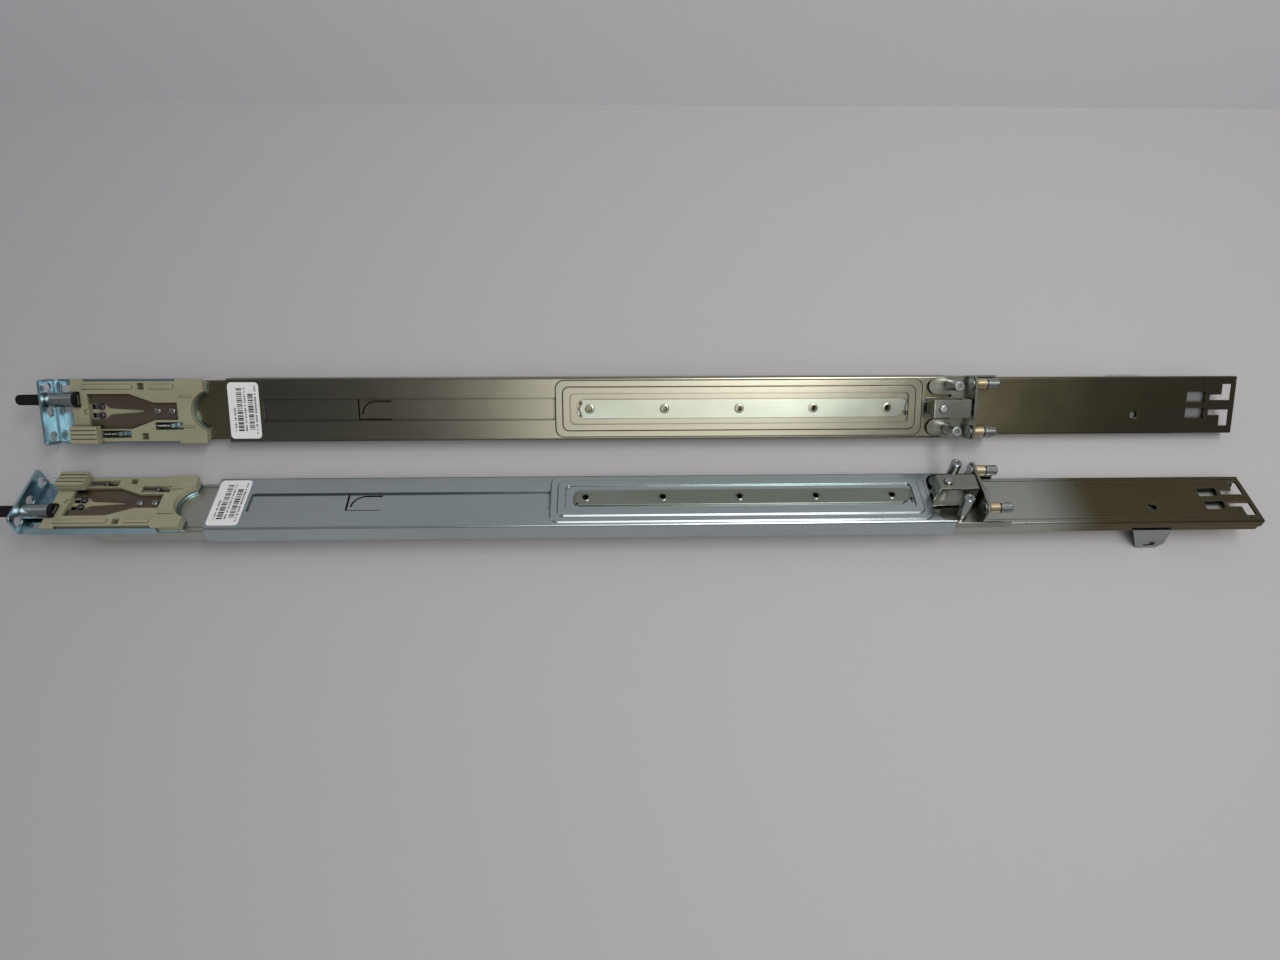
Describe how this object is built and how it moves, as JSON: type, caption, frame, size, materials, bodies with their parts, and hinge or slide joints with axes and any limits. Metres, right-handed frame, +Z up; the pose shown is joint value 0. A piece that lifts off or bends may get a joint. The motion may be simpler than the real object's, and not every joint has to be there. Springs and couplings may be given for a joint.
{
  "type": "server rack rail pair",
  "caption": "Telescoping ball-bearing server rails with a pull-strap latch in front, a depth sleeve, and pins for the rear rack post.",
  "frame": {"origin": "bottom centre of the pair as it lies on a table, outer faces up", "axes": "+X towards the rear of the rack along the rails, +Y from the right rail to the left rail, +Z up"},
  "size_m": [0.8136, 0.125, 0.0439],
  "materials": {
    "channel_left": "zinc plated, satin",
    "channel_right": "zinc plated, satin",
    "zinc_pale": "zinc plated, satin",
    "zinc_blue": "blue zinc plated",
    "zinc_rear": "zinc plated, satin",
    "zinc_strip": "zinc plated, satin",
    "zinc_inner": "zinc plated, satin",
    "sleeve_left": "zinc plated, satin",
    "sleeve_right": "zinc plated, satin",
    "moulding_cream": "moulded, fine grain",
    "moulding_black": "moulded",
    "spring_brown": "heat-tinted spring steel",
    "spring_wire": "drawn wire",
    "pin_dark": "dark oxide",
    "collar_gold": "yellow passivated",
    "ball_steel": "polished",
    "label_white": "printed"
  },
  "bodies": {
    "rack_side": {"left_cabinet_channel": "channel_left", "left_rest_tab": "zinc_pale", "left_front_bracket": "zinc_blue", "left_joint_rivets": "zinc_pale", "left_latch_housing": "moulding_cream", "left_fork_spring": "spring_brown", "left_fork_rivets": "zinc_pale", "left_strap_bush": "zinc_pale", "left_latch_springs": "spring_wire", "right_cabinet_channel": "channel_right", "right_rest_tab": "zinc_pale", "right_front_bracket": "zinc_blue", "right_joint_rivets": "zinc_pale", "right_latch_housing": "moulding_cream", "right_fork_spring": "spring_brown", "right_fork_rivets": "zinc_pale", "right_strap_bush": "zinc_pale", "right_latch_springs": "spring_wire"},
    "left_latch_set": {"left_pull_strap": "moulding_black", "left_latch_slide": "zinc_pale", "left_latch_pins": "pin_dark"},
    "left_sleeve_set": {"left_depth_sleeve": "sleeve_left", "left_nut_strip": "zinc_strip", "left_label": "label_white", "left_rear_bracket": "zinc_rear", "left_rear_bridge": "zinc_rear", "left_bridge_rivet": "zinc_pale", "left_rack_pins": "zinc_pale", "left_pin_collars": "collar_gold", "left_guide_posts": "zinc_pale"},
    "left_intermediate_set": {"left_intermediate_channel": "zinc_inner", "left_slide_stop": "moulding_black"},
    "left_inner_set": {"left_inner_channel": "zinc_inner", "left_lever_pivot": "zinc_pale"},
    "left_lever_set": {"left_release_lever": "zinc_pale"},
    "left_outer_cage_set": {"left_outer_cage": "zinc_inner", "left_outer_balls": "ball_steel"},
    "left_inner_cage_set": {"left_inner_cage": "zinc_inner", "left_inner_balls": "ball_steel"},
    "right_latch_set": {"right_pull_strap": "moulding_black", "right_latch_slide": "zinc_pale", "right_latch_pins": "pin_dark"},
    "right_sleeve_set": {"right_depth_sleeve": "sleeve_right", "right_nut_strip": "zinc_strip", "right_label": "label_white", "right_rear_bracket": "zinc_rear", "right_rear_bridge": "zinc_rear", "right_bridge_rivet": "zinc_pale", "right_rack_pins": "zinc_pale", "right_pin_collars": "collar_gold", "right_guide_posts": "zinc_pale"},
    "right_intermediate_set": {"right_intermediate_channel": "zinc_inner", "right_slide_stop": "moulding_black"},
    "right_inner_set": {"right_inner_channel": "zinc_inner", "right_lever_pivot": "zinc_pale"},
    "right_lever_set": {"right_release_lever": "zinc_pale"},
    "right_outer_cage_set": {"right_outer_cage": "zinc_inner", "right_outer_balls": "ball_steel"},
    "right_inner_cage_set": {"right_inner_cage": "zinc_inner", "right_inner_balls": "ball_steel"}
  },
  "joints": [
    {"name": "left_depth_adjust", "type": "slide", "parent": "rack_side", "child": "left_sleeve_set", "axis": [1, 0, 0], "range_m": [0, 0.31]},
    {"name": "left_mid_slide", "type": "slide", "parent": "rack_side", "child": "left_intermediate_set", "axis": [-1, 0, 0], "range_m": [0, 0.36]},
    {"name": "left_inner_slide", "type": "slide", "parent": "left_intermediate_set", "child": "left_inner_set", "axis": [-1, 0, 0], "range_m": [0, 0.36]},
    {"name": "left_outer_cage_slide", "type": "slide", "parent": "rack_side", "child": "left_outer_cage_set", "axis": [-1, 0, 0], "range_m": [0, 0.18]},
    {"name": "left_inner_cage_slide", "type": "slide", "parent": "left_intermediate_set", "child": "left_inner_cage_set", "axis": [-1, 0, 0], "range_m": [0, 0.18]},
    {"name": "left_latch_pull", "type": "slide", "parent": "rack_side", "child": "left_latch_set", "axis": [-1, 0, 0], "range_m": [0, 0.005], "stiffness_N_per_m": 600, "springref_m": -0.004, "deforming": ["left_latch_springs"]},
    {"name": "left_lever_turn", "type": "hinge", "parent": "left_inner_set", "child": "left_lever_set", "pos_m": [-0.2362, 0.03594, 0.01102], "axis": [0, -0.4321, 0.9018], "range_deg": [-6, 6], "stiffness_Nm_per_rad": 0.05},
    {"name": "right_depth_adjust", "type": "slide", "parent": "rack_side", "child": "right_sleeve_set", "axis": [1, 0, 0], "range_m": [0, 0.31]},
    {"name": "right_mid_slide", "type": "slide", "parent": "rack_side", "child": "right_intermediate_set", "axis": [-1, 0, 0], "range_m": [0, 0.36]},
    {"name": "right_inner_slide", "type": "slide", "parent": "right_intermediate_set", "child": "right_inner_set", "axis": [-1, 0, 0], "range_m": [0, 0.36]},
    {"name": "right_outer_cage_slide", "type": "slide", "parent": "rack_side", "child": "right_outer_cage_set", "axis": [-1, 0, 0], "range_m": [0, 0.18]},
    {"name": "right_inner_cage_slide", "type": "slide", "parent": "right_intermediate_set", "child": "right_inner_cage_set", "axis": [-1, 0, 0], "range_m": [0, 0.18]},
    {"name": "right_latch_pull", "type": "slide", "parent": "rack_side", "child": "right_latch_set", "axis": [-1, 0, 0], "range_m": [0, 0.005], "stiffness_N_per_m": 600, "springref_m": -0.004, "deforming": ["right_latch_springs"]},
    {"name": "right_lever_turn", "type": "hinge", "parent": "right_inner_set", "child": "right_lever_set", "pos_m": [-0.2388, -0.03594, 0.01102], "axis": [0, 0.4321, 0.9018], "range_deg": [-6, 6], "stiffness_Nm_per_rad": 0.05}
  ],
  "couplings": [
    {"joint": "left_outer_cage_slide", "follows": "left_mid_slide", "ratio": 0.5},
    {"joint": "left_inner_cage_slide", "follows": "left_inner_slide", "ratio": 0.5},
    {"joint": "right_outer_cage_slide", "follows": "right_mid_slide", "ratio": 0.5},
    {"joint": "right_inner_cage_slide", "follows": "right_inner_slide", "ratio": 0.5}
  ]
}
